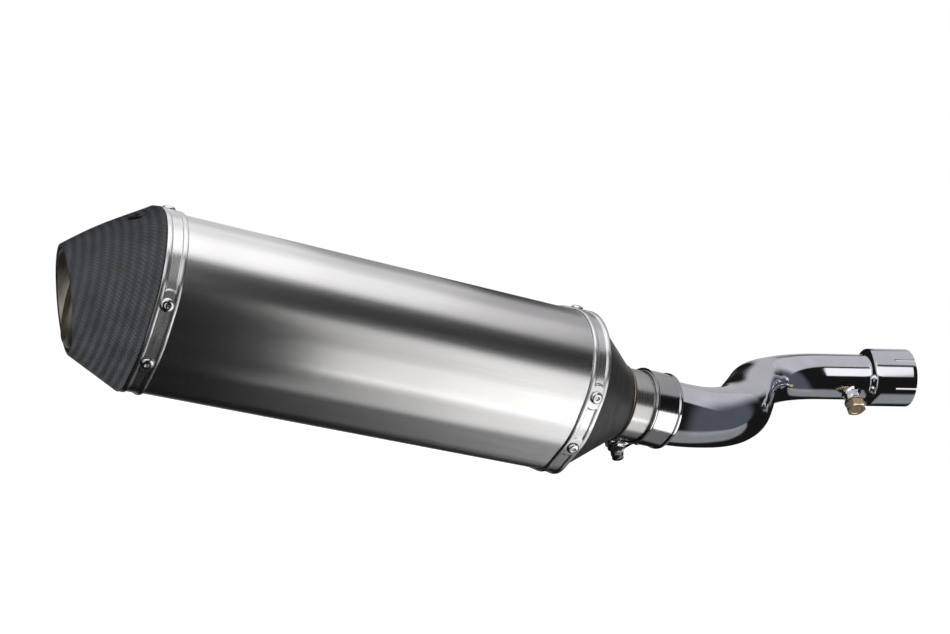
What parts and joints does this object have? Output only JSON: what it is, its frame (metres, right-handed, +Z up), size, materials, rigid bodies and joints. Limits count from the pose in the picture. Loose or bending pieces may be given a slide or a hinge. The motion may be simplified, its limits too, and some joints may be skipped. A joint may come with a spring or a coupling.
{
  "type": "motorcycle exhaust muffler",
  "caption": "Slip-on exhaust muffler: egg-section metal can with riveted bands, woven end cap and slanted outlet, clamped to a bent link pipe with a slotted socket.",
  "frame": {"origin": "centre of the link pipe's mouth, in the plane of its end face", "axes": "+X along the can from outlet to inlet, towards the mouth; +Z up, along the tall side of the can's section; the outlet points to -X"},
  "size_m": [0.806, 0.2195, 0.1647],
  "materials": {
    "sleeve_titanium": "brushed titanium sheet, satin",
    "band_steel": "brushed stainless band, embossed",
    "rivet_steel": "bright domed rivets",
    "pipe_polished": "polished stainless tube",
    "cone_steel": "dark satin steel",
    "sleeve_steel": "brushed stainless tube",
    "carbon": "matt woven carbon fibre laminate",
    "inner_steel": "satin steel",
    "clamp_steel": "bright stainless strip",
    "black_steel": "black oxide steel",
    "plug_bronze": "brown passivated brass",
    "glass_wool": "packed glass wool"
  },
  "bodies": {
    "link_pipe": {"link_pipe": "pipe_polished", "plug_boss": "pipe_polished", "plug_washer": "plug_bronze", "hex_plug": "plug_bronze"},
    "silencer": {"outer_sleeve": "sleeve_titanium", "rear_band": "band_steel", "front_band": "band_steel", "carbon_end_cap": "carbon", "outlet_tube": "inner_steel", "baffle_screw_boss": "inner_steel", "baffle_screw": "black_steel", "rear_plate": "inner_steel", "front_plate": "inner_steel", "perforated_core": "inner_steel", "packing": "glass_wool", "inlet_cone": "cone_steel", "cone_weld_bead": "cone_steel", "inlet_sleeve": "sleeve_steel", "rear_rivet_1": "rivet_steel", "rear_rivet_2": "rivet_steel", "rear_rivet_3": "rivet_steel", "rear_rivet_4": "rivet_steel", "rear_rivet_5": "rivet_steel", "front_rivet_1": "rivet_steel", "front_rivet_2": "rivet_steel", "front_rivet_3": "rivet_steel", "front_rivet_4": "rivet_steel", "front_rivet_5": "rivet_steel"},
    "baffle": {"baffle": "inner_steel"},
    "clamp": {"clamp_band": "clamp_steel", "clamp_bridge": "clamp_steel", "clamp_t_bolt": "clamp_steel", "clamp_nut": "clamp_steel", "clamp_trunnion_head": "clamp_steel", "clamp_trunnion_nut": "clamp_steel"}
  },
  "joints": [
    {"name": "silencer_swivel", "type": "hinge", "parent": "link_pipe", "child": "silencer", "pos_m": [-0.33617, -0.11126, -0.07492], "axis": [1, 0, 0], "range_deg": [-20, 20]},
    {"name": "clamp_turn", "type": "hinge", "parent": "silencer", "child": "clamp", "pos_m": [-0.33217, -0.11126, -0.07492], "axis": [1, 0, 0], "range_deg": [-90, 90]},
    {"name": "baffle_slide", "type": "slide", "parent": "silencer", "child": "baffle", "axis": [-1, 0, 0], "range_m": [0, 0.07]}
  ]
}
